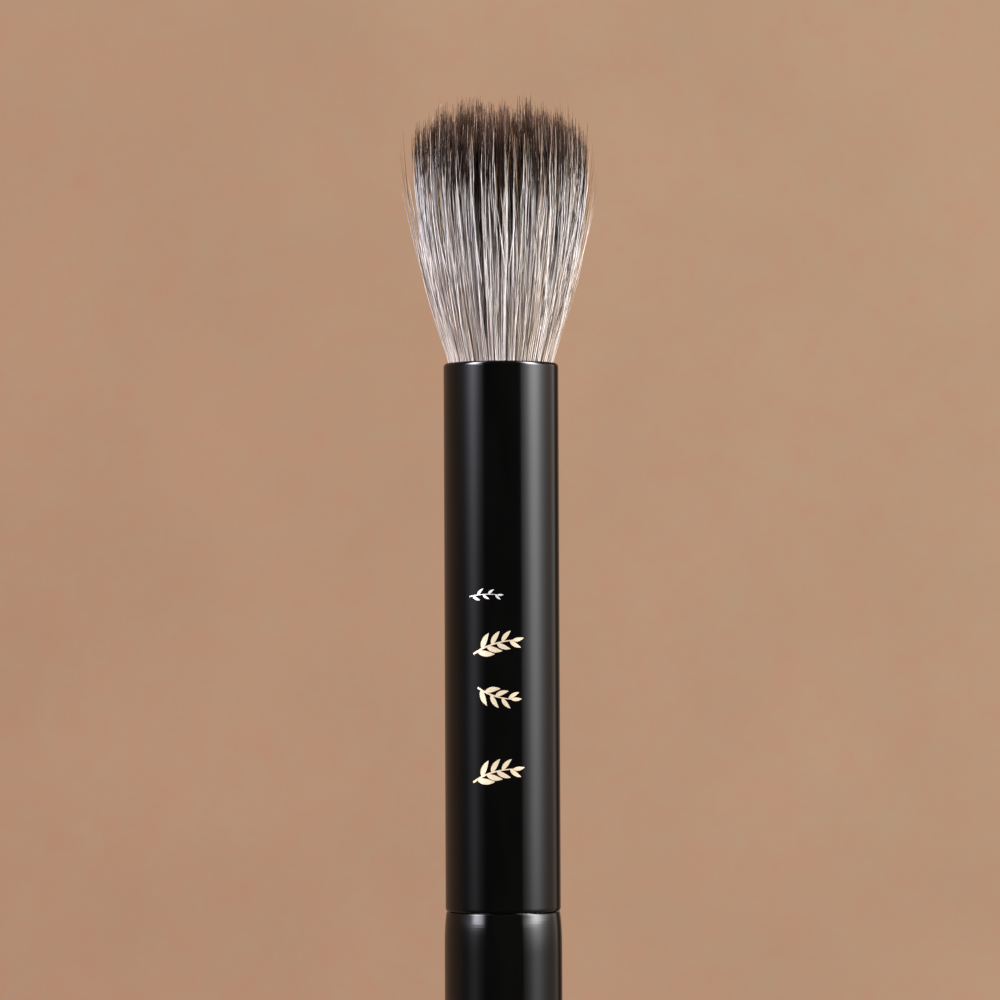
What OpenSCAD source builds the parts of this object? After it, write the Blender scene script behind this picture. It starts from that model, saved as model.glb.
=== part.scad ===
// Retractable hair brush.
// A lacquered lower handle carries a stem, and the stem carries the ferrule and the hair.
// A lacquered sleeve slides up the stem until its mouth covers the hair.
// Millimetres, +Z up along the brush, origin at the centre of the standing face.
// The model is drawn open, with the sleeve down on the handle and the hair out.

/* [Handle] */
// Outside diameter of the lower handle
handle_d = 16.32; // [16.1:0.02:17]
// Height of the lower handle's rim above the standing face
handle_h = 30; // [28:1:50]
// How much the handle's radius narrows towards its rim
handle_waist = 0.26; // [0:0.02:0.4]
// Height of the stretch that narrows
handle_waist_h = 6; // [4:1:12]

/* [Sleeve] */
// Outside diameter of the sliding sleeve
sleeve_d = 16; // [15.8:0.02:16.2]
// Length of the sliding sleeve
sleeve_len = 76; // [72:0.5:90]
// Wall thickness of the two lacquered tubes
tube_wall = 0.7; // [0.6:0.05:0.8]
// Gap between the sleeve and the handle's rim when the brush is open
parting_gap = 0.1; // [0.1:0.05:0.4]

/* [Slide] */
// Travel of the sleeve from open to closed
travel = 39; // [37:0.5:40]
// Outside diameter of the stem that the sleeve slides on
stem_d = 12; // [11:0.1:12]
// Radial clearance between the guide bushes and the stem
guide_clear = 0.05; // [0.02:0.01:0.1]
// Length of each guide bush
bush_len = 6; // [4:0.5:8]

/* [Hair] */
// Length of the hair beyond the sleeve's mouth when the brush is open
hair_out = 36.8; // [32:0.1:37]
// Widest diameter of the flared hair
hair_spread_d = 25.6; // [20:0.2:28]
// Height above the sleeve's mouth at which the hair is widest
hair_flare_h = 25; // [18:0.5:27]

/* [Head] */
// Outside diameter of the ferrule
ferrule_d = 14.2; // [13.8:0.05:14.3]
// Wall thickness of the ferrule
ferrule_wall = 0.4; // [0.3:0.05:0.6]
// Depth of the ferrule's rim below the sleeve's mouth when the brush is open
ferrule_recess = 2.6; // [1:0.1:4]
// Number of turns of thread round the hair roots
thread_turns = 7; // [4:1:7]

/* [Hidden] */
$fn = 96;

// Handle
handle_r = handle_d / 2;
handle_bore_r = handle_r - tube_wall;
shell_z = 0.4;
plug_face_r = 7.1;
plug_top_z = 2.6;
weight_top_z = 8.2;

// Core that holds the stem in the handle
core_z = 8.6;
core_recess = 0.6;
core_top_z = handle_h - core_recess;
socket_z = 13;

// Screw, its washer and its hole, a metric size 3
screw_r = 1.5;
screw_clear = 0.1;
screw_len = 10;
screw_head_r = 2.75;
screw_head_h = 1.9;
hex_key_r = 1.15;
hex_key_depth = 1.2;
washer_r = 3;
washer_t = 0.5;
head_hole_r = 3.2;
head_hole_top_z = 11.6;
screw_seat_z = head_hole_top_z - washer_t;

// Stem
stem_r = stem_d / 2;
stem_wall = 0.6;
stem_bore_r = stem_r - stem_wall;
foot_h = 10;

// Sleeve and the pieces that are pressed into it
sleeve_r = sleeve_d / 2;
sleeve_bore_r = sleeve_r - tube_wall;
sleeve_z = handle_h + parting_gap;
mouth_z = sleeve_z + sleeve_len;
bush_recess = 0.6;
bush_lead = 0.4;
guide_r = stem_r + guide_clear;
lower_bush_z = sleeve_z + bush_recess;
ring_thick = 1.24;
ring_gap = 1.5;
ring_bore_r = stem_r + 0.03;
ring_z = lower_bush_z + bush_len + ring_gap / 2;
upper_bush_z = lower_bush_z + bush_len + ring_gap;
stop_z = upper_bush_z + bush_len;
stop_t = 1;
stop_clear = 0.05;

// Head, whose flange stops the sleeve at the end of its travel
flange_z = stop_z + stop_t + travel + stop_clear;
flange_t = 1;
shank_len = 9;
tenon_h = 4;
ferrule_r = ferrule_d / 2;
ferrule_bore_r = ferrule_r - ferrule_wall;
ferrule_z = flange_z + flange_t;
ferrule_top_z = mouth_z - ferrule_recess;
crimp_depth = 0.2;
crimp_half_h = 0.5;
crimp_z = ferrule_z + tenon_h / 2;

// Hair roots
resin_z = ferrule_z + tenon_h;
resin_h = 5;
root_z = resin_z + resin_h;
thread_d = 0.4;
neck_r = ferrule_bore_r - thread_d - 0.15;
neck_h = thread_turns * thread_d + 0.4;
neck_ease = 1;
root_r = ferrule_bore_r - 0.05;

// Hair
mouth_hair_r = sleeve_bore_r - 0.1;
spread_r = hair_spread_d / 2;
crown_z = mouth_z + hair_flare_h + 1;
crown_h = mouth_z + hair_out - crown_z;
crown_power = 2 / 3;
flare_steps = 10;
crown_steps = 10;

// Edge roundings, each as its depth into the wall and its height
foot_round = [0.6, 0.6];
rim_round = [0.16, 0.16];
sleeve_foot_round = [0.22, 0.55];
mouth_round = [0.45, 0.55];
arc_steps = 8;
waist_steps = 14;
waist_power = 3;

// Cut that runs past a face, so that no skin is left on it
past = 1;

// Points of a rounding of the given depth and height, from angle a0 to angle a1 round (x, z).
function arc(x, z, round, a0, a1) = [
    for (i = [0:arc_steps])
        let (a = a0 + (a1 - a0) * i / arc_steps)
            [x + round[0] * cos(a), z + round[1] * sin(a)]
];

// Points of the outside where a barrel narrows from its full radius to its rim's.
function waist(outer_r, z0, z1, depth) = [
    for (i = [0:waist_steps - 1])
        let (u = i / waist_steps)
            [outer_r - depth * pow(u, waist_power), z0 + (z1 - z0) * u]
];

// Half section of a lacquered tube with rounded outer edges.
function barrel(bore_r, outer_r, z0, z1, low_round, high_round, depth = 0) = concat(
    [[bore_r, z0]],
    arc(outer_r - low_round[0], z0 + low_round[1], low_round, -90, 0),
    depth > 0 ? waist(outer_r, z1 - handle_waist_h, z1 - high_round[1], depth) : [],
    arc(outer_r - depth - high_round[0], z1 - high_round[1], high_round, 0, 90),
    [[bore_r, z1]]
);

// Ring of rectangular section.
module ring(r_out, r_in, z0, h) {
    translate([0, 0, z0]) difference() {
        cylinder(r = r_out, h = h);
        translate([0, 0, -past]) cylinder(r = r_in, h = h + 2 * past);
    }
}

// Ring of round section, centred on height z.
module round_ring(r_in, thick, z) {
    rotate_extrude()
        translate([r_in + thick / 2, z])
            circle(d = thick, $fn = 32);
}

// Closes the handle's lower end and is the face that the brush stands on.
module base_plug() {
    color("#141416") {
        cylinder(r = plug_face_r, h = shell_z);
        translate([0, 0, shell_z]) cylinder(r = handle_bore_r, h = plug_top_z - shell_z);
    }
}

// Steel slug that keeps the brush's balance low in the hand.
module balance_weight() {
    color("#8d9094")
        translate([0, 0, plug_top_z]) cylinder(r = handle_bore_r, h = weight_top_z - plug_top_z);
}

// Lacquered tube of the lower handle.
module handle_shell() {
    color("#08080a")
        rotate_extrude()
            polygon(barrel(handle_bore_r, handle_r, shell_z, handle_h, foot_round, rim_round,
                           handle_waist));
}

// Moulded insert pressed into the handle, with a socket for the stem.
module handle_core() {
    color("#2a2a2c") difference() {
        translate([0, 0, core_z]) cylinder(r = handle_bore_r, h = core_top_z - core_z);
        translate([0, 0, socket_z]) cylinder(r = stem_r, h = core_top_z - socket_z + past);
        translate([0, 0, core_z - past]) cylinder(r = screw_r + screw_clear, h = socket_z);
        translate([0, 0, core_z - past])
            cylinder(r = head_hole_r, h = head_hole_top_z - core_z + past);
    }
}

// Socket-head screw that draws the stem down into the core.
module stem_screw() {
    color("#9a9da2") difference() {
        union() {
            translate([0, 0, screw_seat_z - screw_head_h])
                cylinder(r = screw_head_r, h = screw_head_h);
            translate([0, 0, screw_seat_z]) cylinder(r = screw_r, h = screw_len);
        }
        translate([0, 0, screw_seat_z - screw_head_h - past])
            cylinder(r = hex_key_r, h = hex_key_depth + past, $fn = 6);
    }
}

// Plain washer under the screw's head.
module screw_washer() {
    color("#b4b7bb") ring(washer_r, screw_r + screw_clear, screw_seat_z, washer_t);
}

// Threaded insert pressed into the stem's lower end.
module stem_foot() {
    color("#b08d4a") ring(stem_bore_r, screw_r, socket_z, foot_h);
}

// Tube that the sleeve slides on.
module stem_tube() {
    color("#b9bcc0") ring(stem_r, stem_bore_r, socket_z, flange_z - socket_z);
}

// Turned plug that joins the ferrule to the stem; its flange is the sleeve's upper stop.
module head_plug() {
    color("#b9bcc0") {
        translate([0, 0, flange_z - shank_len]) cylinder(r = stem_bore_r, h = shank_len);
        translate([0, 0, flange_z]) cylinder(r = ferrule_r, h = flange_t);
        difference() {
            translate([0, 0, ferrule_z]) cylinder(r = ferrule_bore_r, h = tenon_h);
            crimp_groove(crimp_depth);
        }
    }
}

// V-shaped groove round the tenon, which the ferrule's crimp is rolled into.
module crimp_groove(depth) {
    rotate_extrude()
        polygon([
            [ferrule_bore_r - depth, crimp_z],
            [ferrule_bore_r + past, crimp_z - crimp_half_h * (1 + past / depth)],
            [ferrule_bore_r + past, crimp_z + crimp_half_h * (1 + past / depth)]
        ]);
}

// Thin tube that holds the hair roots, crimped into the plug's groove.
module ferrule() {
    color("#c3c5c8")
        rotate_extrude()
            polygon([
                [ferrule_bore_r, ferrule_z],
                [ferrule_r, ferrule_z],
                [ferrule_r, crimp_z - crimp_half_h],
                [ferrule_r - crimp_depth, crimp_z],
                [ferrule_r, crimp_z + crimp_half_h],
                [ferrule_r, ferrule_top_z],
                [ferrule_bore_r, ferrule_top_z],
                [ferrule_bore_r, crimp_z + crimp_half_h],
                [ferrule_bore_r - crimp_depth, crimp_z],
                [ferrule_bore_r, crimp_z - crimp_half_h]
            ]);
}

// Set resin that bonds the hair roots into the ferrule.
module root_resin() {
    color("#7d5a2c")
        translate([0, 0, resin_z]) cylinder(r = ferrule_bore_r - 0.01, h = resin_h);
}

// Turns of thread that bind the hair roots.
module binding_thread() {
    color("#d8cfb8")
        for (i = [0:thread_turns - 1])
            round_ring(neck_r, thread_d - 0.02, root_z + 0.2 + (i + 0.5) * thread_d);
}

// The hair as one closed solid of its outer shape: roots, flare and crowned top.
module hair_bundle() {
    flare = [
        for (i = [0:flare_steps])
            let (t = i / flare_steps)
                [mouth_hair_r + (spread_r - mouth_hair_r) * sin(90 * t), mouth_z + hair_flare_h * t]
    ];
    crown = [
        for (i = [0:crown_steps])
            let (a = 90 * i / crown_steps)
                [spread_r * pow(cos(a), crown_power), crown_z + crown_h * pow(sin(a), crown_power)]
    ];
    roots = [
        [0, root_z],
        [neck_r, root_z],
        [neck_r, root_z + neck_h],
        [root_r, root_z + neck_h + neck_ease],
        [root_r, ferrule_top_z]
    ];
    color("#8d857f") rotate_extrude() polygon(concat(roots, flare, crown));
}

// Lacquered tube that slides up to cover the hair.
module outer_sleeve() {
    color("#08080a")
        rotate_extrude()
            polygon(barrel(sleeve_bore_r, sleeve_r, sleeve_z, mouth_z, sleeve_foot_round,
                           mouth_round));
}

// Bush pressed into the sleeve, with a lead-in at its lower end.
module guide_bush(z0) {
    difference() {
        ring(sleeve_bore_r, guide_r, z0, bush_len);
        translate([0, 0, z0 - 0.01])
            cylinder(r1 = guide_r + bush_lead, r2 = guide_r, h = bush_lead);
    }
}

// Bush that closes the sleeve's lower end round the stem.
module lower_guide_bush() {
    color("#1d1d20") guide_bush(lower_bush_z);
}

// Rubber ring that grips the stem, so that the sleeve stays where it is put.
module friction_ring() {
    color("#3a3230") round_ring(ring_bore_r, ring_thick, ring_z);
}

// Bush above the friction ring.
module upper_guide_bush() {
    color("#1d1d20") guide_bush(upper_bush_z);
}

// Soft washer that meets the head's flange at the end of the travel.
module stop_washer() {
    color("#4a4440") ring(sleeve_bore_r - 0.1, stem_r + 0.25, stop_z, stop_t);
}

base_plug();
balance_weight();
handle_shell();
handle_core();
stem_screw();
screw_washer();
stem_foot();
stem_tube();
head_plug();
ferrule();
root_resin();
binding_thread();
hair_bundle();
outer_sleeve();
lower_guide_bush();
friction_ring();
upper_guide_bush();
stop_washer();
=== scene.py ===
"""Looks of a retractable hair brush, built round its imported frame.

The frame holds the lacquered tubes, the slide and the sealed inner parts. This script gives each of
them a material, makes the flared head of hair strand by strand, and lays gold and silver foil
sprigs on the sleeve. All lengths are metres; MM turns millimetres into metres.
"""

import math

import bpy
import numpy as np
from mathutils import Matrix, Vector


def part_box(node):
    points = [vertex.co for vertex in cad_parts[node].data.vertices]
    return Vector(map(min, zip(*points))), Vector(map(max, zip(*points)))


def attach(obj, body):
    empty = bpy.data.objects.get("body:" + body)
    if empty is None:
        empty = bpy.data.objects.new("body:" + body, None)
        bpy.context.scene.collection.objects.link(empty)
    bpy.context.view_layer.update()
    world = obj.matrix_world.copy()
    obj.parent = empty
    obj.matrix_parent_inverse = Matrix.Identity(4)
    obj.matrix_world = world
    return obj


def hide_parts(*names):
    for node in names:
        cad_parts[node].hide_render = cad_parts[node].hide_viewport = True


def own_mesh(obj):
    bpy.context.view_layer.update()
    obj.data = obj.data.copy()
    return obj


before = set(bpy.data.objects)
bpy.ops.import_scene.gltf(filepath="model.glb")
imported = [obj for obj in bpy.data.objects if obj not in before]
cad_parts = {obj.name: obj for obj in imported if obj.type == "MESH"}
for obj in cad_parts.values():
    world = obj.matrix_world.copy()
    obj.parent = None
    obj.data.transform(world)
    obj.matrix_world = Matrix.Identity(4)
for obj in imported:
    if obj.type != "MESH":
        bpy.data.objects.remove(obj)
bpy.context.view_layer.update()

MM = 0.001
MICRON = 0.001 * MM
DEGREE = math.pi / 180
TURN = 2 * math.pi

# Places and sizes from the frame
SLEEVE_LOW, SLEEVE_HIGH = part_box("outer_sleeve")
HAIR_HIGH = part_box("hair_bundle")[1]
FERRULE_TOP_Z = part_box("ferrule")[1].z
SLEEVE_FOOT_Z = SLEEVE_LOW.z
MOUTH_Z = SLEEVE_HIGH.z
SLEEVE_R = SLEEVE_HIGH.x
BORE_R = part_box("lower_guide_bush")[1].x
HAIR_OUT = HAIR_HIGH.z - MOUTH_Z
HAIR_SPREAD_R = HAIR_HIGH.x
ROOT_H = FERRULE_TOP_Z + 0.1 * MM - MOUTH_Z

# How many hairs there are, and the rings and sides of each one's tube
HAIRS = 10000
CLUMPS = 620
GUARD_HAIRS = 760
STRAY_HAIRS = 520
RINGS = 13
SIDES = 3

# The pieces that the head is cut into
SECTORS = 16

# Strand colours are numbered: black ones first, then tan, pale and banded ones
SHADES = 64
FIRST_TAN = 9
FIRST_PALE = 12
FIRST_BANDED = 20

# Where the dark band starts, in the banded colour ramp and above the sleeve's mouth
BAND_AT = 0.70
BAND_H = 23.5 * MM

# The hair's UV layer has the name that the export's baking reads
UV_LAYER = "OFBake"

SEED = 41


# ---------------------------------------------------------------------------------------------
# Node helpers
# ---------------------------------------------------------------------------------------------

def add_node(tree, kind, inputs=None, **settings):
    """Adds a node, sets its properties, and links or sets its inputs."""
    made = tree.nodes.new(kind)
    for name, value in settings.items():
        setattr(made, name, value)
    for name, value in (inputs or {}).items():
        if isinstance(value, bpy.types.NodeSocket):
            tree.links.new(value, made.inputs[name])
        else:
            made.inputs[name].default_value = value
    return made


def calculate(tree, operation, a, b=0.0):
    """The output of a Math node."""
    return add_node(tree, "ShaderNodeMath", {0: a, 1: b}, operation=operation).outputs[0]


def map_range(tree, value, low, high, to_low=0.0, to_high=1.0, smooth=False):
    """The output of a Map Range node, clamped to its range."""
    inputs = {"Value": value, "From Min": low, "From Max": high, "To Min": to_low, "To Max": to_high}
    kind = "SMOOTHSTEP" if smooth else "LINEAR"
    return add_node(tree, "ShaderNodeMapRange", inputs, interpolation_type=kind).outputs["Result"]


def ramp(tree, factor, stops, interpolation="LINEAR"):
    """The colour of a Color Ramp whose stops are (position, colour)."""
    made = add_node(tree, "ShaderNodeValToRGB", {"Fac": factor})
    made.color_ramp.interpolation = interpolation
    elements = made.color_ramp.elements
    elements[0].position, elements[1].position = stops[0][0], stops[-1][0]
    for position, _ in stops[1:-1]:
        elements.new(position)
    for element, (_, colour) in zip(elements, stops):
        element.color = (*colour, 1.0)
    return made.outputs["Color"]


def mix_colours(tree, factor, a, b, blend="MIX"):
    """The colour of a Mix node."""
    made = tree.nodes.new("ShaderNodeMix")
    made.data_type = "RGBA"
    made.blend_type = blend
    for socket, value in ((made.inputs[0], factor), (made.inputs[6], a), (made.inputs[7], b)):
        if isinstance(value, bpy.types.NodeSocket):
            tree.links.new(value, socket)
        elif isinstance(value, tuple):
            socket.default_value = (*value, 1.0)
        else:
            socket.default_value = value
    return made.outputs[2]


def object_noise(tree, scale, detail=3.0, stretch=(1.0, 1.0, 1.0)):
    """Noise in object space, where scale is waves per metre and stretch multiplies it per axis."""
    place = add_node(tree, "ShaderNodeTexCoord").outputs["Object"]
    mapped = add_node(tree, "ShaderNodeMapping", {"Vector": place, "Scale": stretch})
    inputs = {"Vector": mapped.outputs["Vector"], "Scale": scale, "Detail": detail}
    return add_node(tree, "ShaderNodeTexNoise", inputs).outputs["Fac"]


def scale_vector(tree, vector, factor):
    """A vector or colour times one number."""
    inputs = {0: vector, "Scale": factor}
    return add_node(tree, "ShaderNodeVectorMath", inputs, operation="SCALE").outputs[0]


def add_vectors(tree, a, b):
    """The sum of two vectors or colours."""
    return add_node(tree, "ShaderNodeVectorMath", {0: a, 1: b}, operation="ADD").outputs[0]


def bump(tree, height, strength, depth):
    """The normal of a Bump node whose relief is depth metres."""
    inputs = {"Height": height, "Strength": strength, "Distance": depth}
    return add_node(tree, "ShaderNodeBump", inputs).outputs["Normal"]


def new_material(name, **values):
    """A material with its Principled shader's sockets set, where _ in a name stands for a space."""
    material = bpy.data.materials.new(name)
    material.use_nodes = True
    shader = material.node_tree.nodes["Principled BSDF"]
    for socket, value in values.items():
        shader.inputs[socket.replace("_", " ")].default_value = value
    return material, material.node_tree, shader


# ---------------------------------------------------------------------------------------------
# Materials
# ---------------------------------------------------------------------------------------------

def lacquer_material():
    """Polished black lacquer, with a trace of orange peel and of polishing haze."""
    material, tree, shader = new_material("black_lacquer", IOR=1.5)
    haze = object_noise(tree, 260.0, detail=5.0, stretch=(1.0, 1.0, 0.25))
    black = ramp(tree, haze, [(0.3, (0.0014, 0.0014, 0.0013)), (0.7, (0.0022, 0.0022, 0.0020))])
    tree.links.new(black, shader.inputs["Base Color"])
    tree.links.new(map_range(tree, haze, 0.3, 0.7, 0.035, 0.06), shader.inputs["Roughness"])
    peel = object_noise(tree, 420.0, detail=2.0, stretch=(1.0, 1.0, 0.35))
    tree.links.new(bump(tree, peel, strength=0.35, depth=MICRON), shader.inputs["Normal"])
    return material


def turned_metal_material(name, light, dark, rough_low, rough_high):
    """Metal with fine turning rings along Z and a little mottling."""
    material, tree, shader = new_material(name, Metallic=1.0)
    rings = object_noise(tree, 900.0, detail=4.0, stretch=(0.05, 0.05, 9.0))
    mottle = object_noise(tree, 350.0)
    tone = calculate(tree, "MULTIPLY", rings, mottle)
    tree.links.new(ramp(tree, tone, [(0.1, dark), (0.4, light)]), shader.inputs["Base Color"])
    roughness = map_range(tree, rings, 0.3, 0.7, rough_low, rough_high)
    tree.links.new(roughness, shader.inputs["Roughness"])
    tree.links.new(bump(tree, rings, strength=0.4, depth=4 * MICRON), shader.inputs["Normal"])
    return material


def moulded_material(name, light, dark, rough_low, rough_high, grain=2600.0):
    """Moulded plastic or rubber with a fine spark-eroded grain and slight tone changes."""
    material, tree, shader = new_material(name)
    fine = object_noise(tree, grain, detail=4.0)
    broad = object_noise(tree, 240.0)
    tree.links.new(ramp(tree, broad, [(0.3, dark), (0.7, light)]), shader.inputs["Base Color"])
    roughness = map_range(tree, fine, 0.3, 0.7, rough_low, rough_high)
    tree.links.new(roughness, shader.inputs["Roughness"])
    tree.links.new(bump(tree, fine, strength=0.5, depth=10 * MICRON), shader.inputs["Normal"])
    return material


def resin_material():
    """Amber casting resin, cloudy with small bubbles."""
    material, tree, shader = new_material(
        "root_resin", Roughness=0.18, IOR=1.55, Transmission_Weight=0.35)
    cloud = object_noise(tree, 600.0, detail=5.0)
    amber = ramp(tree, cloud, [(0.35, (0.34, 0.19, 0.07)), (0.65, (0.5, 0.33, 0.15))])
    tree.links.new(amber, shader.inputs["Base Color"])
    tree.links.new(bump(tree, cloud, strength=0.3, depth=30 * MICRON), shader.inputs["Normal"])
    return material


def thread_material():
    """Twisted cotton thread."""
    material, tree, shader = new_material("binding_thread", Roughness=0.85, Sheen_Weight=0.3)
    twist = object_noise(tree, 4200.0, detail=2.0, stretch=(1.0, 1.0, 1.4))
    cotton = ramp(tree, twist, [(0.35, (0.55, 0.49, 0.37)), (0.65, (0.8, 0.75, 0.63))])
    tree.links.new(cotton, shader.inputs["Base Color"])
    tree.links.new(bump(tree, twist, strength=0.8, depth=40 * MICRON), shader.inputs["Normal"])
    return material


def foil_material(name, light, dark):
    """Hot-stamped foil: a soft metallic film, a little worn and uneven."""
    material, tree, shader = new_material(name, Metallic=0.45, IOR=1.6)
    wear = object_noise(tree, 1900.0, detail=5.0)
    tree.links.new(ramp(tree, wear, [(0.32, dark), (0.5, light)]), shader.inputs["Base Color"])
    tree.links.new(map_range(tree, wear, 0.3, 0.7, 0.55, 0.34), shader.inputs["Roughness"])
    tree.links.new(bump(tree, wear, strength=0.5, depth=12 * MICRON), shader.inputs["Normal"])
    return material


# Strand colours, as (share of the way from root to tip, colour)
BANDED_HAIR = [
    (0.00, (0.66, 0.60, 0.54)),
    (0.12, (0.86, 0.82, 0.785)),
    (0.28, (0.96, 0.945, 0.925)),
    (0.48, (0.86, 0.84, 0.82)),
    (0.655, (0.60, 0.57, 0.55)),
    (BAND_AT, (0.42, 0.375, 0.345)),
    (0.745, (0.045, 0.030, 0.023)),
    (0.92, (0.022, 0.012, 0.008)),
    (0.97, (0.032, 0.015, 0.009)),
    (1.00, (0.080, 0.036, 0.018)),
]
BLACK_HAIR = [
    (0.00, (0.50, 0.42, 0.35)),
    (0.14, (0.38, 0.32, 0.285)),
    (0.30, (0.20, 0.165, 0.15)),
    (0.44, (0.018, 0.014, 0.013)),
    (0.90, (0.018, 0.010, 0.007)),
    (1.00, (0.05, 0.025, 0.014)),
]
PALE_HAIR = [
    (0.00, (0.58, 0.49, 0.40)),
    (0.16, (0.84, 0.79, 0.74)),
    (0.66, (0.90, 0.88, 0.86)),
    (0.84, (0.76, 0.68, 0.60)),
    (0.92, (0.52, 0.41, 0.32)),
    (1.00, (0.28, 0.18, 0.12)),
]
TAN_HAIR = [
    (0.00, (0.52, 0.42, 0.32)),
    (0.50, (0.66, 0.53, 0.38)),
    (0.85, (0.30, 0.18, 0.10)),
    (1.00, (0.16, 0.08, 0.045)),
]


def strand_colour(tree, column, along):
    """The colour along a strand of the given number; the first banded ones have the lowest bands."""
    band_shift = map_range(tree, column, FIRST_BANDED, SHADES - 1.0, 0.03, -0.03)
    shifted = calculate(tree, "ADD", along, band_shift)
    colour = ramp(tree, along, BLACK_HAIR)
    kinds = (
        (FIRST_TAN, TAN_HAIR, along),
        (FIRST_PALE, PALE_HAIR, along),
        (FIRST_BANDED, BANDED_HAIR, shifted),
    )
    for first, stops, place in kinds:
        reached = calculate(tree, "GREATER_THAN", column, first - 0.5)
        colour = mix_colours(tree, reached, colour, ramp(tree, place, stops))
    return colour


def strand_level(tree, chance, across, along):
    """A strand's brightness, which differs from strand to strand and dips in short stretches along it:
    painted shade of hairs passing under others, with painted glints between.
    """
    level = map_range(tree, chance, 0.0, 1.0, 0.82, 1.0)
    # Noise along each strand darkens short stretches of it: painted shade where hairs pass under
    # others, and painted glints where it stays bright.
    shade_dips_along = 26.0
    shade_dips_across = SHADES * 1.3
    shade_dip_at = add_node(tree, "ShaderNodeCombineXYZ", {
        "X": calculate(tree, "MULTIPLY", across, shade_dips_across),
        "Y": calculate(tree, "MULTIPLY", along, shade_dips_along)})
    shade_dip_noise = add_node(tree, "ShaderNodeTexNoise", {
        "Vector": shade_dip_at.outputs["Vector"], "Scale": 1.0, "Detail": 3.0, "Roughness": 0.6})
    painted_shade_level = map_range(tree, shade_dip_noise.outputs["Fac"], 0.3, 0.6, 0.68, 1.0)
    level = calculate(tree, "MULTIPLY", level, painted_shade_level)
    grey = add_node(tree, "ShaderNodeCombineColor", {"Red": level, "Green": level, "Blue": level})
    return grey.outputs["Color"]


def hair_material():
    """Mixed animal hair. U holds the strand's number out of SHADES, and V runs from root to tip."""
    material, tree, shader = new_material(
        "brush_hair", Roughness=0.42, IOR=1.5, Specular_IOR_Level=0.08)
    uv = add_node(tree, "ShaderNodeUVMap", uv_map=UV_LAYER).outputs["UV"]
    parts = add_node(tree, "ShaderNodeSeparateXYZ", {"Vector": uv})
    across, along = parts.outputs["X"], parts.outputs["Y"]
    column = calculate(tree, "FLOOR", calculate(tree, "MULTIPLY", across, float(SHADES)))
    chance = add_node(tree, "ShaderNodeTexWhiteNoise", {"W": column}, noise_dimensions="1D")
    dice = add_node(tree, "ShaderNodeSeparateColor", {"Color": chance.outputs["Color"]})
    colour = strand_colour(tree, column, along)
    tint = ramp(tree, dice.outputs["Blue"], [(0.0, (1.0, 0.95, 0.90)), (1.0, (0.96, 0.96, 1.0))])
    colour = mix_colours(tree, 1.0, colour, tint, "MULTIPLY")
    level = strand_level(tree, dice.outputs["Green"], across, along)
    tree.links.new(mix_colours(tree, 1.0, colour, level, "MULTIPLY"), shader.inputs["Base Color"])
    return material


def dress_frame():
    """Gives each CAD node its material."""
    lacquer = lacquer_material()
    aluminium = turned_metal_material(
        "satin_aluminium", (0.78, 0.79, 0.80), (0.55, 0.56, 0.58), 0.22, 0.36)
    steel = turned_metal_material("steel", (0.6, 0.6, 0.61), (0.4, 0.4, 0.42), 0.2, 0.38)
    brass = turned_metal_material("brass", (0.80, 0.60, 0.28), (0.55, 0.38, 0.16), 0.2, 0.34)
    nickel = turned_metal_material("nickel", (0.80, 0.79, 0.77), (0.62, 0.61, 0.59), 0.08, 0.2)
    black = moulded_material("black_plastic", (0.032, 0.032, 0.035), (0.02, 0.02, 0.022), 0.35, 0.5)
    grey = moulded_material("grey_plastic", (0.075, 0.075, 0.08), (0.05, 0.05, 0.054), 0.5, 0.65)
    rubber = moulded_material("rubber", (0.055, 0.048, 0.045), (0.03, 0.027, 0.026), 0.6, 0.8, 1800.0)
    made = {
        "outer_sleeve": lacquer,
        "handle_shell": lacquer,
        "base_plug": black,
        "lower_guide_bush": black,
        "upper_guide_bush": black,
        "handle_core": grey,
        "stem_tube": aluminium,
        "head_plug": aluminium,
        "balance_weight": steel,
        "stem_screw": steel,
        "screw_washer": steel,
        "stem_foot": brass,
        "ferrule": nickel,
        "friction_ring": rubber,
        "stop_washer": rubber,
        "root_resin": resin_material(),
        "binding_thread": thread_material(),
    }
    for name, material in made.items():
        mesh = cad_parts[name].data
        mesh.materials.clear()
        mesh.materials.append(material)


# ---------------------------------------------------------------------------------------------
# Hair
# ---------------------------------------------------------------------------------------------

def smoothstep(value, low, high):
    """0 below low, 1 above high, and smooth between them."""
    t = np.clip((value - low) / (high - low), 0.0, 1.0)
    return t * t * (3.0 - 2.0 * t)


def head_radius(height):
    """Radius of the head of hair, without its strays, at a height above the sleeve's mouth."""
    packed = BORE_R - 0.12 * MM
    spread = HAIR_SPREAD_R - 1.6 * MM
    flare_h = 27.0 * MM
    share = np.clip(height / flare_h, 0.0, 1.0)
    flare = share * (2.0 - share)
    above_flare = np.clip(height - flare_h, 0.0, None)
    curl_in = 0.45 * MM * (above_flare / (10.0 * MM)) ** 2
    return packed + (spread - packed) * flare - curl_in


def random_disc(rng, count, power):
    """Points in the unit disc; a power under 0.5 puts more of them near its edge."""
    radius = rng.random(count) ** power
    angle = rng.random(count) * TURN
    return np.stack([radius * np.cos(angle), radius * np.sin(angle)], axis=1)


def random_rim(rng, count, inmost, outmost):
    """Unit rays round the disc, and on each a point between two shares of its radius."""
    angle = rng.random(count) * TURN
    rays = np.stack([np.cos(angle), np.sin(angle)], axis=1)
    return rays, rays * rng.uniform(inmost, outmost, (count, 1))


def band_height(place):
    """Mean height of the dark band's lower edge, which wanders up and down round the head."""
    angle = np.arctan2(place[:, 1], place[:, 0])
    out = np.linalg.norm(place, axis=1)
    wander_mm = 1.4 * np.cos(2.0 * angle) - 1.3 * np.cos(angle) + 0.5 * np.cos(5.0 * angle + 1.0)
    return BAND_H + MM * wander_mm * out


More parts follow.
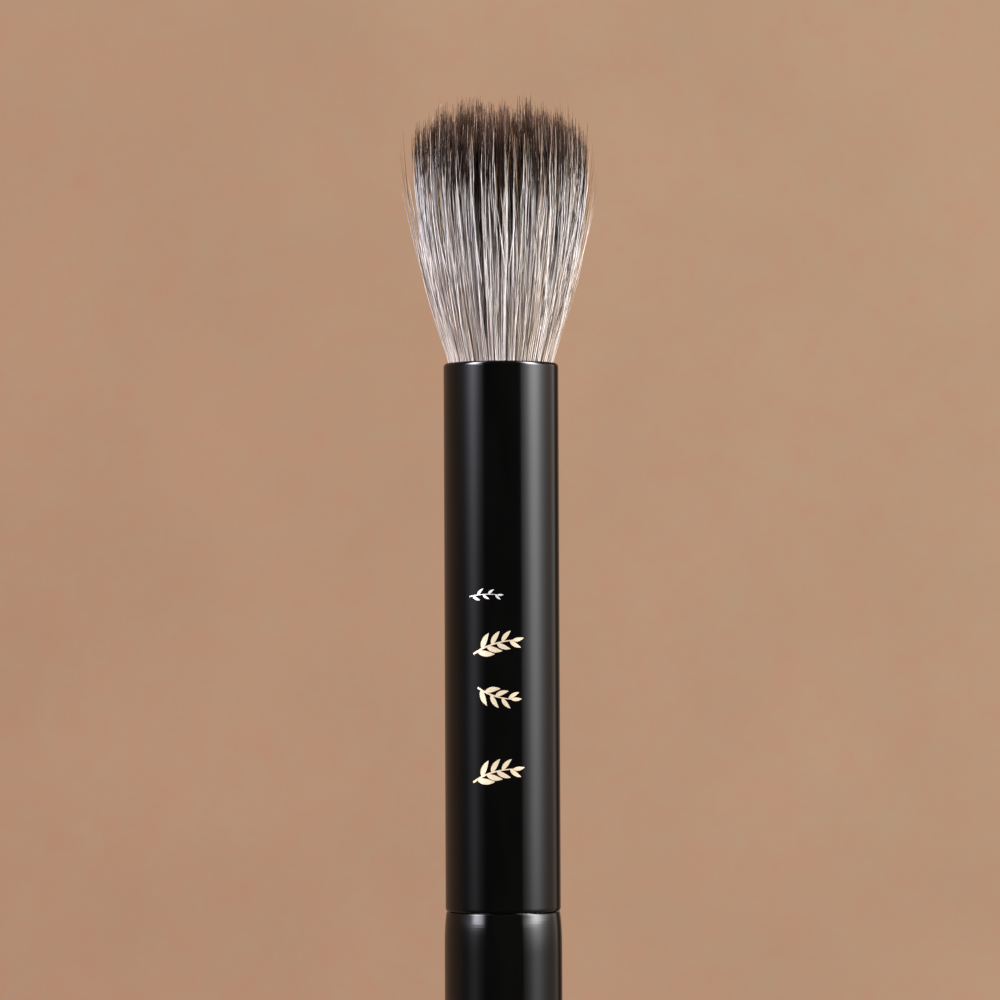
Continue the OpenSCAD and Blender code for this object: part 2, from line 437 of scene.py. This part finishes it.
def pick_shades(rng, place, black, tan, pale):
    """A strand colour for each hair, from the chances of black, tan and pale; the rest are banded.

    Hairs near the plane x = 0 tend to get the first banded colours, whose dark band starts lower.
    """
    count = len(place)
    first = np.array([0, FIRST_TAN, FIRST_PALE, FIRST_BANDED])
    sizes = np.diff(np.append(first, SHADES))
    draw = rng.random(count)
    group = (draw > black).astype(int) + (draw > black + tan) + (draw > black + tan + pale)
    within = rng.random(count)
    side = np.clip(np.abs(place[:, 0]) * 1.15, 0.0, 1.0)
    within = np.where(group == 3, 0.55 * within + 0.45 * side, within)
    return first[group] + np.minimum((within * sizes[group]).astype(int), sizes[group] - 1)


class Strands:
    """A set of hairs: where each runs across the head, how long and thick it is, and its colour.

    Places and drifts are shares of the head's radius. A hair starts at its place and ends a drift
    away from it. tip and band are heights above the sleeve's mouth.
    """

    # Each wave has a share of the set's wave size, and a shortest and longest length in millimetres
    WAVES = ((0.25, 9.0, 15.0), (1.0, 20.0, 44.0))
    DRIFT_POWER = 1.3

    def __init__(self, rng, place, drift, tip, width, shade, wave, band=BAND_H):
        self.rng = rng
        self.place = place
        self.drift = drift
        self.tip = tip
        self.width = width
        self.shade = shade
        self.wave = wave
        self.band = band

    def gather(self, along, centre, strength):
        """The shift of each ring towards its clump's centre, which all the tips come close to."""
        lock = strength[:, None] * smoothstep(along, 0.20, 0.90)
        share = lock + (1.0 - lock) * 0.9 * smoothstep(along, 0.80, 0.99)
        return (centre - self.place)[:, None, :] * share[..., None]

    def add_waves(self, flat, height):
        """Adds slow random waves to the rings' x and y, which fade out towards the mouth."""
        count = len(flat)
        ease = smoothstep(height, 0.0, 9.0 * MM)
        for reach, shortest, longest in self.WAVES:
            length = self.rng.uniform(shortest, longest, (count, 1)) * MM
            phase = self.rng.uniform(0.0, TURN, (count, 2))
            size = self.wave * reach * self.rng.normal(0.0, 1.0, (count, 2))
            for axis in range(2):
                swing = np.sin(height / length * TURN + phase[:, axis:axis + 1])
                flat[..., axis] += size[:, axis:axis + 1] * swing * ease

    def rings(self, pull=None):
        """Centres (hair, ring, xyz), radii and colour positions (hair, ring) of every hair's rings.

        pull is the centre and the strength of each hair's clump.
        """
        along = np.linspace(0.0, 1.0, RINGS)[None, :]
        height = ROOT_H + along * (self.tip[:, None] - ROOT_H)
        offset = self.place[:, None, :] + self.drift[:, None, :] * along[..., None] ** self.DRIFT_POWER
        if pull is not None:
            offset = offset + self.gather(along, *pull)
        flat = offset * head_radius(height)[..., None]
        self.add_waves(flat, height)
        centres = np.concatenate([flat, (MOUTH_Z + height)[..., None]], axis=2)
        taper = (1.0 - 0.2 * along) * (1.0 - 0.8 * smoothstep(along, 0.62, 1.04))
        band = np.clip((self.band - ROOT_H) / (self.tip - ROOT_H), 0.3, 0.9)
        colour_at = along ** (math.log(BAND_AT) / np.log(band))[:, None]
        return centres, 0.5 * self.width[:, None] * taper, colour_at


def body_hairs(rng):
    """The bulk of the head, whose tips gather in small clumps."""
    place = random_disc(rng, HAIRS, power=0.45)
    middles = random_disc(rng, CLUMPS, power=0.47)
    nearest = np.array([np.argmin(((middles - p) ** 2).sum(axis=1)) for p in place])
    centre = middles[nearest]
    apart = np.linalg.norm(place - centre, axis=1)
    clump_drift = rng.normal(0.0, 0.042, (CLUMPS, 2))
    clump_tip = rng.normal(0.0, 1.1 * MM, CLUMPS)
    clump_pull = rng.uniform(0.1, 0.6, CLUMPS)
    drift = clump_drift[nearest] + rng.normal(0.0, 0.028, (HAIRS, 2))

    # Tips lie lower at the rim and away from their clump's middle, and a few hairs are short
    out = np.linalg.norm(place, axis=1)
    tip = HAIR_OUT - 2.1 * MM - 2.9 * MM * out ** 5 + clump_tip[nearest]
    tip += rng.normal(0.0, 0.6 * MM, HAIRS) - 38.0 * MM * apart
    short = rng.random(HAIRS) < 0.07
    tip[short] -= rng.uniform(1.0, 9.0, short.sum()) * MM
    tip = np.minimum(tip, HAIR_OUT - 0.05 * MM)
    width = rng.uniform(0.12, 0.24, HAIRS) * MM

    # Black hairs are commoner inside the head and near the plane x = 0, where bands also sink lower
    inner = 1.0 - smoothstep(out, 0.72, 0.92)
    centre_share = 1.0 - smoothstep(np.abs(place[:, 0]), 0.1, 0.65)
    black = 0.12 + 0.28 * inner + 0.10 * centre_share
    shade = pick_shades(rng, place, black, tan=0.012, pale=0.06)
    band = band_height(place) + rng.normal(0.0, 1.3 * MM, CLUMPS)[nearest]
    sink = rng.exponential(3.5 * MM, HAIRS) * (0.2 + 0.8 * centre_share)
    band += rng.normal(0.9 * MM, 2.8 * MM, HAIRS) - sink
    strands = Strands(rng, place, drift, tip, width, shade, wave=0.13 * MM, band=band)
    return strands.rings((centre, clump_pull[nearest])), shade


def guard_hairs(rng):
    """Thicker pale and black hairs that lie over the outside and cross the others."""
    _, place = random_rim(rng, GUARD_HAIRS, 0.90, 0.98)
    drift = rng.normal(0.0, 0.09, (GUARD_HAIRS, 2))
    tip = HAIR_OUT - rng.uniform(4.2, 15.5, GUARD_HAIRS) * MM
    width = rng.uniform(0.15, 0.28, GUARD_HAIRS) * MM
    shade = pick_shades(rng, place, black=0.17, tan=0.025, pale=0.40)
    band = band_height(place)
    strands = Strands(rng, place, drift, tip, width, shade, wave=0.2 * MM, band=band)
    return strands.rings(), shade


def stray_hairs(rng):
    """Thin hairs that stand away from the head's sides, most of them only a little."""
    rays, place = random_rim(rng, STRAY_HAIRS, 0.94, 1.0)
    away = 0.02 + 0.25 * rng.random(STRAY_HAIRS) ** 2.0
    sideways = np.stack([-rays[:, 1], rays[:, 0]], axis=1) * rng.normal(0, 0.05, (STRAY_HAIRS, 1))
    drift = rays * away[:, None] + sideways
    tip = HAIR_OUT - rng.uniform(2.5, 15.0, STRAY_HAIRS) * MM
    width = rng.uniform(0.07, 0.13, STRAY_HAIRS) * MM
    shade = pick_shades(rng, place, black=0.36, tan=0.18, pale=0.16)
    strands = Strands(rng, place, drift, tip, width, shade, wave=0.2 * MM)
    return strands.rings(), shade


def tube_points(centres, radii):
    """The points round every ring of every hair, each hair turned a little further than the last."""
    count = len(centres)
    twist = 2.4
    turn = np.arange(SIDES) * TURN / SIDES
    spin = np.arange(count)[:, None] * twist
    ring = np.stack([np.cos(turn + spin), np.sin(turn + spin), np.zeros((count, SIDES))], axis=2)
    return centres[:, :, None, :] + radii[:, :, None, None] * ring[:, None, :, :]


def tube_faces(count):
    """The faces of count closed tubes: all the sides, then all the roots, then all the tips."""
    start = np.arange(count)[:, None] * (RINGS * SIDES)
    low = start[..., None] + np.arange(RINGS - 1)[None, :, None] * SIDES
    side = np.arange(SIDES)[None, None, :]
    after = (side + 1) % SIDES
    quads = np.stack([low + side, low + after, low + SIDES + after, low + SIDES + side], axis=3)
    roots = start + np.arange(SIDES)[None, ::-1]
    tips = start + (RINGS - 1) * SIDES + np.arange(SIDES)[None, :]
    return quads.reshape(-1, 4).tolist() + roots.tolist() + tips.tolist()


def tube_uvs(colour_at, shade):
    """The UV of each corner of tube_faces: U inside the shade's column, and V up its colour ramp."""
    count = len(shade)
    column_edge = 0.15
    column_width = 0.7
    v_edge = 0.002
    edges = column_edge + column_width * np.arange(SIDES + 1) / SIDES
    u = (shade[:, None] + edges[None, :]) / SHADES
    v = v_edge + (1.0 - 2 * v_edge) * colour_at
    quad_u = np.stack([u[:, :-1], u[:, 1:], u[:, 1:], u[:, :-1]], axis=2)[:, None, :, :]
    quad_v = np.stack([v[:, :-1], v[:, :-1], v[:, 1:], v[:, 1:]], axis=2)[:, :, None, :]
    shape = (count, RINGS - 1, SIDES, 4)
    quad_uv = np.stack([np.broadcast_to(quad_u, shape), np.broadcast_to(quad_v, shape)], axis=4)
    middle = np.repeat((shade + 0.5) / SHADES, SIDES)
    root_uv = np.stack([middle, np.full(count * SIDES, v_edge / 2)], axis=1)
    tip_uv = np.stack([middle, np.full(count * SIDES, 1.0 - v_edge / 2)], axis=1)
    return np.concatenate([quad_uv.reshape(-1, 2), root_uv, tip_uv]).astype(np.float32)


def hair_mesh(name, centres, radii, colour_at, shade):
    """One mesh of closed three-sided tubes, with the UV layer that the hair material reads."""
    mesh = bpy.data.meshes.new(name)
    points = tube_points(centres, radii)
    mesh.from_pydata(points.reshape(-1, 3).tolist(), [], tube_faces(len(centres)))
    layer = mesh.uv_layers.new(name=UV_LAYER)
    layer.data.foreach_set("uv", tube_uvs(colour_at, shade).ravel())
    mesh.polygons.foreach_set("use_smooth", np.ones(len(mesh.polygons), bool))
    mesh.update()
    return mesh


def make_hair():
    """Makes the head of hair in sectors.

    A hair belongs to the sector that it runs through two thirds of the way up.
    """
    rng = np.random.default_rng(SEED)
    sets = [body_hairs(rng), guard_hairs(rng), stray_hairs(rng)]
    centres = np.concatenate([rings[0] for rings, _ in sets])
    radii = np.concatenate([rings[1] for rings, _ in sets])
    colour_at = np.concatenate([rings[2] for rings, _ in sets])
    shade = np.concatenate([shades for _, shades in sets])
    material = hair_material()
    upper = centres[:, RINGS * 2 // 3, :2]
    step = TURN / SECTORS
    sector = ((np.arctan2(upper[:, 1], upper[:, 0]) + step / 2) % TURN // step).astype(int)
    for number in range(SECTORS):
        mine = sector == number
        name = f"hair_sector_{number + 1:02d}"
        mesh = hair_mesh(name, centres[mine], radii[mine], colour_at[mine], shade[mine])
        mesh.materials.append(material)
        piece = bpy.data.objects.new(name, mesh)
        bpy.context.scene.collection.objects.link(piece)
        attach(piece, "handle")
        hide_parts("hair_bundle")
        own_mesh(piece)


# ---------------------------------------------------------------------------------------------
# Foil sprigs
# ---------------------------------------------------------------------------------------------

# The film's outer and inner face, from the lacquer's surface outwards
FOIL_TOP = 0.035 * MM
FOIL_FOOT = -0.01 * MM


def on_sleeve(x, z, lift):
    """A point of the sleeve's front, x along the surface and z above the sleeve's foot."""
    radius = SLEEVE_R + lift
    return (radius * math.sin(x / SLEEVE_R), -radius * math.cos(x / SLEEVE_R), SLEEVE_FOOT_Z + z)


def ribbon(vertices, faces, spine, widths):
    """Adds a closed film to vertices and faces, along the spine with a width at each of its points."""
    first = len(vertices)
    count = len(spine)
    for i, ((x, z), width) in enumerate(zip(spine, widths)):
        before, after = spine[max(i - 1, 0)], spine[min(i + 1, count - 1)]
        run = math.hypot(after[0] - before[0], after[1] - before[1])
        nx, nz = -(after[1] - before[1]) / run, (after[0] - before[0]) / run
        for share in (-0.5, 0.0, 0.5):
            for lift in (FOIL_TOP, FOIL_FOOT):
                vertices.append(on_sleeve(x + nx * width * share, z + nz * width * share, lift))
    for i in range(count - 1):
        a, b = first + 6 * i, first + 6 * (i + 1)
        faces += [(a, a + 2, b + 2, b), (a + 2, a + 4, b + 4, b + 2)]
        faces += [(a + 1, b + 1, b + 3, a + 3), (a + 3, b + 3, b + 5, a + 5)]
        faces += [(a, b, b + 1, a + 1), (a + 4, a + 5, b + 5, b + 4)]
    last = first + 6 * (count - 1)
    for start, flip in ((first, 1), (last, -1)):
        for near, far in ((start, start + 2), (start + 2, start + 4)):
            faces.append((near, near + 1, far + 1, far)[::flip])


def bent_spine(foot, angle, length, curl, steps):
    """Points and headings of an arc that starts at foot along angle and bends by curl radians."""
    x, z = foot
    spine, headings = [foot], [angle]
    for i in range(1, steps + 1):
        heading = angle + curl * i / steps
        x += math.cos(heading) * length / steps
        z += math.sin(heading) * length / steps
        spine.append((x, z))
        headings.append(heading)
    return spine, headings


def leaf(vertices, faces, foot, angle, length, width, curl):
    """Adds one pointed leaf that starts at foot, heads along angle and bends by curl radians."""
    steps = 12
    stalk_width = 0.06 * MM
    tip_width = 0.04 * MM
    spine, _ = bent_spine(foot, angle, length, curl, steps)
    widths = [stalk_width]
    for i in range(1, steps + 1):
        belly = math.sin(math.pi * (i / steps) ** 0.8) ** 0.8
        widths.append(max(tip_width, width * belly))
    ribbon(vertices, faces, spine, widths)


def sprig(vertices, faces, foot, angle, length, leaves, curl, scale=1.0):
    """Adds a curved twig with leaves on alternate sides and one at its end."""
    steps = 16
    first_leaf_at = 2
    leaf_spread = 0.95
    leaf_curl = 0.5
    end_leaf_curl = 0.2
    end_leaf_length = scale * 1.9 * MM
    end_leaf_width = scale * 0.62 * MM
    spine, headings = bent_spine(foot, angle, length, curl, steps)
    widths = [scale * (0.34 - 0.2 * i / steps) * MM for i in range(steps + 1)]
    ribbon(vertices, faces, spine, widths)
    for i in range(leaves):
        at = first_leaf_at + (steps - 3) * i // max(leaves - 1, 1)
        side = 1 if i % 2 else -1
        size = scale * (2.9 - 0.9 * i / leaves) * MM
        heading = headings[at] + side * leaf_spread
        leaf(vertices, faces, spine[at], heading, size, 0.32 * size, -side * leaf_curl)
    leaf(vertices, faces, spine[-1], headings[-1], end_leaf_length, end_leaf_width, end_leaf_curl)


def foil_piece(name, material, sprigs):
    """Makes one piece of foil from sprigs, each a tuple of sprig()'s arguments."""
    vertices, faces = [], []
    for arguments in sprigs:
        sprig(vertices, faces, *arguments)
    mesh = bpy.data.meshes.new(name)
    mesh.from_pydata(vertices, [], faces)
    mesh.materials.append(material)
    mesh.update()
    piece = bpy.data.objects.new(name, mesh)
    bpy.context.scene.collection.objects.link(piece)
    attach(piece, "sleeve")


def make_foil():
    """Three gold sprigs down the sleeve's front and a small silver one above them."""
    gold = foil_material("gold_foil", (0.73, 0.62, 0.43), (0.57, 0.45, 0.28))
    silver = foil_material("silver_foil", (0.76, 0.75, 0.72), (0.54, 0.52, 0.49))
    # Each sprig is its foot, angle, length, number of leaves, curl and scale
    foil_piece("gold_sprigs", gold, [
        ((-4.1 * MM, 35.6 * MM), 34 * DEGREE, 5.9 * MM, 7, -0.5, 0.86),
        ((-3.5 * MM, 31.0 * MM), -34 * DEGREE, 5.0 * MM, 6, 0.5, 0.8),
        ((-4.2 * MM, 18.0 * MM), 36 * DEGREE, 6.0 * MM, 7, -0.6, 0.88),
    ])
    foil_piece("silver_sprig", silver, [
        ((-4.7 * MM, 43.5 * MM), 14 * DEGREE, 4.1 * MM, 5, -0.35, 0.44),
    ])


# ---------------------------------------------------------------------------------------------
# Studio
# ---------------------------------------------------------------------------------------------

# Light boxes, by their levels over azimuth (across) and over elevation (upward), both in degrees.
# 0 azimuth is the front, and the right is positive. The levels are smoothed as a B-spline, so each
# list begins and ends with at least two stops at zero, to start and stop dark.
NEUTRAL_LIGHT = (1.0, 0.985, 1.0)
COOL_LIGHT = (0.98, 0.96, 1.08)
RIGHT_LOW = {
    "across": [
        (30, 0.0), (38, 0.0), (40, 0.08), (43, 0.16), (48, 0.28), (55, 0.52), (61, 0.86), (68, 1.06),
        (76, 0.94), (84, 0.56), (92, 0.29), (101, 0.13), (111, 0.06), (119, 0.06), (126, 0.12),
        (131, 0.12), (137, 0.0), (150, 0.0)],
    "upward": [
        (-50, 0.0), (-40, 0.0), (-25, 0.03), (-14, 0.06), (-7.5, 0.08), (-4.1, 0.11), (-2.9, 0.16),
        (-1.0, 0.24), (0.9, 0.30), (2.1, 0.35), (3.4, 0.42), (4.3, 0.60), (5.3, 0.84), (7, 0.90),
        (9, 0.70), (13, 0.35), (18, 0.12), (25, 0.0), (35, 0.0)],
    "colour": NEUTRAL_LIGHT,
    "strength": 12.5,
}
RIGHT_HIGH = {
    "across": [
        (40, 0.0), (48, 0.0), (54, 0.2), (60, 0.7), (66, 1.2), (73, 1.2), (80, 0.6), (87, 0.1),
        (94, 0.0), (104, 0.0)],
    "upward": [
        (-3, 0.0), (2, 0.0), (5, 0.05), (9, 0.3), (14, 0.7), (21, 1.4), (29, 2.4), (38, 3.0),
        (47, 2.6), (55, 1.2), (62, 0.2), (69, 0.0), (78, 0.0)],
    "colour": NEUTRAL_LIGHT,
    "strength": 13.5,
}
LEFT_LOW = {
    "across": [
        (-120, 0.0), (-105, 0.0), (-95, 0.03), (-86, 0.10), (-78, 0.22), (-70, 0.52), (-63, 1.0),
        (-56, 1.08), (-49, 0.56), (-43, 0.28), (-38, 0.13), (-34, 0.0), (-25, 0.0)],
    "upward": [
        (-50, 0.0), (-40, 0.0), (-25, 0.01), (-9, 0.02), (-4.1, 0.03), (-2.3, 0.045), (-0.4, 0.06),
        (0.9, 0.08), (2.0, 0.13), (3.0, 0.20), (3.9, 0.30), (5.2, 0.32), (7.5, 0.28), (10, 0.25),
        (14, 0.20), (19, 0.10), (25, 0.0), (35, 0.0)],
    "colour": COOL_LIGHT,
    "strength": 9.4,
}
LEFT_MIDDLE = {
    "across": [
        (-80, 0.0), (-72, 0.0), (-68, 0.0), (-64, 0.3), (-60, 0.85), (-55, 0.95), (-50, 0.88),
        (-46, 0.72), (-42, 0.45), (-38, 0.05), (-34, 0.0), (-26, 0.0)],
    "upward": [
        (1.0, 0.0), (2.6, 0.0), (3.8, 0.0), (4.6, 0.3), (5.6, 0.85), (7.5, 1.0), (10, 0.9), (14, 0.9),
        (20, 0.9), (26, 0.3), (32, 0.0), (40, 0.0)],
    "colour": COOL_LIGHT,
    "strength": 9.4,
}
LEFT_HIGH = {
    "across": [
        (-98, 0.0), (-88, 0.0), (-82, 0.02), (-77, 0.15), (-71, 1.0), (-64, 1.5), (-57, 1.05),
        (-51, 0.4), (-46, 0.04), (-41, 0.0), (-31, 0.0)],
    "upward": [
        (2, 0.0), (8, 0.0), (12, 0.1), (16, 0.7), (20, 1.4), (28, 2.7), (38, 3.4), (47, 3.0),
        (55, 1.4), (62, 0.3), (69, 0.0), (78, 0.0)],
    "colour": (0.98, 0.97, 1.05),
    "strength": 9.4,
}
LIGHT_BOXES = [RIGHT_LOW, RIGHT_HIGH, LEFT_LOW, LEFT_MIDDLE, LEFT_HIGH]

# Levels over azimuth of the paper wall, which lights the object from behind and leaves the front dark
WALL_LEVELS = [
    (-180, 0.62), (-140, 0.62), (-118, 0.58), (-105, 0.46), (-92, 0.3), (-82, 0.0), (-70, 0.0),
    (70, 0.0), (82, 0.0), (92, 0.3), (105, 0.46), (118, 0.58), (132, 0.58), (138, 0.1), (150, 0.1),
    (160, 0.55), (180, 0.62)]


def angle_ramp(tree, angle, stops):
    """Smooth grey levels over an angle, from stops of (degrees, level)."""
    first, last = stops[0][0], stops[-1][0]
    top = max(level for _, level in stops)
    share = map_range(tree, angle, first * DEGREE, last * DEGREE)
    grey = [((degrees - first) / (last - first), (level / top,) * 3) for degrees, level in stops]
    return scale_vector(tree, ramp(tree, share, grey, "B_SPLINE"), top)


def soft_light(tree, azimuth, elevation, across, upward, colour, strength):
    """A soft light box in the world, from its levels over azimuth and over elevation."""
    glow = mix_colours(tree, 1.0, angle_ramp(tree, azimuth, across), colour, "MULTIPLY")
    glow = mix_colours(tree, 1.0, glow, angle_ramp(tree, elevation, upward), "MULTIPLY")
    return scale_vector(tree, glow, strength)


def backdrop_colour(tree, way, parts):
    """Mottled tan paper, with painted light that makes it a little lighter towards the upper right."""
    fine = add_node(tree, "ShaderNodeTexNoise", {
        "Vector": way, "Scale": 150.0, "Detail": 4.0, "Roughness": 0.75}).outputs["Fac"]
    broad = add_node(tree, "ShaderNodeTexNoise", {
        "Vector": way, "Scale": 26.0, "Detail": 2.0}).outputs["Fac"]
    warmth = ramp(tree, fine, [(0.25, (1.03, 0.95, 0.94)), (0.75, (0.97, 1.05, 1.06))])
    level = ramp(tree, broad, [(0.25, (0.965,) * 3), (0.75, (1.035,) * 3)])
    # Painted light on the paper: it grows lighter towards the upper right.
    rightward = calculate(tree, "MULTIPLY", parts.outputs["X"], 3.2)
    upward = calculate(tree, "MULTIPLY", parts.outputs["Z"], 1.9)
    share = calculate(tree, "ADD", calculate(tree, "ADD", rightward, upward), 0.5)
    paper = ramp(tree, share, [(0.0, (0.445, 0.258, 0.167)), (1.0, (0.497, 0.312, 0.200))])
    paper = mix_colours(tree, 1.0, paper, warmth, "MULTIPLY")
    return mix_colours(tree, 1.0, paper, level, "MULTIPLY")


def make_world():
    """A studio with light boxes on both sides, a dark front and a tan backdrop behind."""
    world = bpy.data.worlds.new("studio")
    bpy.context.scene.world = world
    world.use_nodes = True
    tree = world.node_tree
    background = tree.nodes["Background"]
    way = add_node(tree, "ShaderNodeTexCoord").outputs["Generated"]
    parts = add_node(tree, "ShaderNodeSeparateXYZ", {"Vector": way})
    front = calculate(tree, "MULTIPLY", parts.outputs["Y"], -1.0)
    azimuth = calculate(tree, "ARCTAN2", parts.outputs["X"], front)
    elevation = calculate(tree, "ARCSINE", parts.outputs["Z"])
    paper = backdrop_colour(tree, way, parts)
    light = mix_colours(tree, 1.0, angle_ramp(tree, azimuth, WALL_LEVELS), paper, "MULTIPLY")
    for box in LIGHT_BOXES:
        light = add_vectors(tree, light, soft_light(tree, azimuth, elevation, **box))
    seen = add_node(tree, "ShaderNodeLightPath").outputs["Is Camera Ray"]
    tree.links.new(mix_colours(tree, seen, light, paper), background.inputs["Color"])


def make_floor():
    """A pale round floor whose edge fades into the backdrop."""
    radius = 170 * MM
    solid_to = 0.45 * radius
    faded_at = 0.97 * radius
    bpy.ops.mesh.primitive_circle_add(vertices=96, radius=radius, fill_type="NGON")
    floor = bpy.context.object
    floor.name = "studio_floor"
    material, tree, shader = new_material("studio_floor", Roughness=0.7)
    tone = object_noise(tree, 300.0)
    paint = ramp(tree, tone, [(0.3, (0.25, 0.175, 0.125)), (0.7, (0.275, 0.19, 0.14))])
    tree.links.new(paint, shader.inputs["Base Color"])
    place = add_node(tree, "ShaderNodeTexCoord").outputs["Object"]
    distance = add_node(tree, "ShaderNodeVectorMath", {0: place}, operation="LENGTH").outputs["Value"]
    solid = map_range(tree, distance, solid_to, faded_at, 1.0, 0.0, smooth=True)
    tree.links.new(solid, shader.inputs["Alpha"])
    floor.data.materials.append(material)
    floor.visible_glossy = False


def make_camera():
    """A long lens in front of the sleeve, looking along +Y and a little upwards."""
    left = 0.29 * MM
    away = 644 * MM
    height = SLEEVE_FOOT_Z + 37.5 * MM
    tilt_up = 1.734 * DEGREE
    roll = 0.25 * DEGREE
    data = bpy.data.cameras.new("camera")
    data.sensor_width = 36.0
    data.lens = 166.7
    data.clip_start = 0.05
    data.clip_end = 20.0
    camera = bpy.data.objects.new("camera", data)
    bpy.context.scene.collection.objects.link(camera)
    camera.location = (-left, -away, height)
    camera.rotation_euler = (90 * DEGREE + tilt_up, roll, 0.0)
    bpy.context.scene.camera = camera


dress_frame()
make_hair()
make_foil()
make_world()
make_floor()
make_camera()
bpy.context.scene.view_settings.view_transform = "Standard"
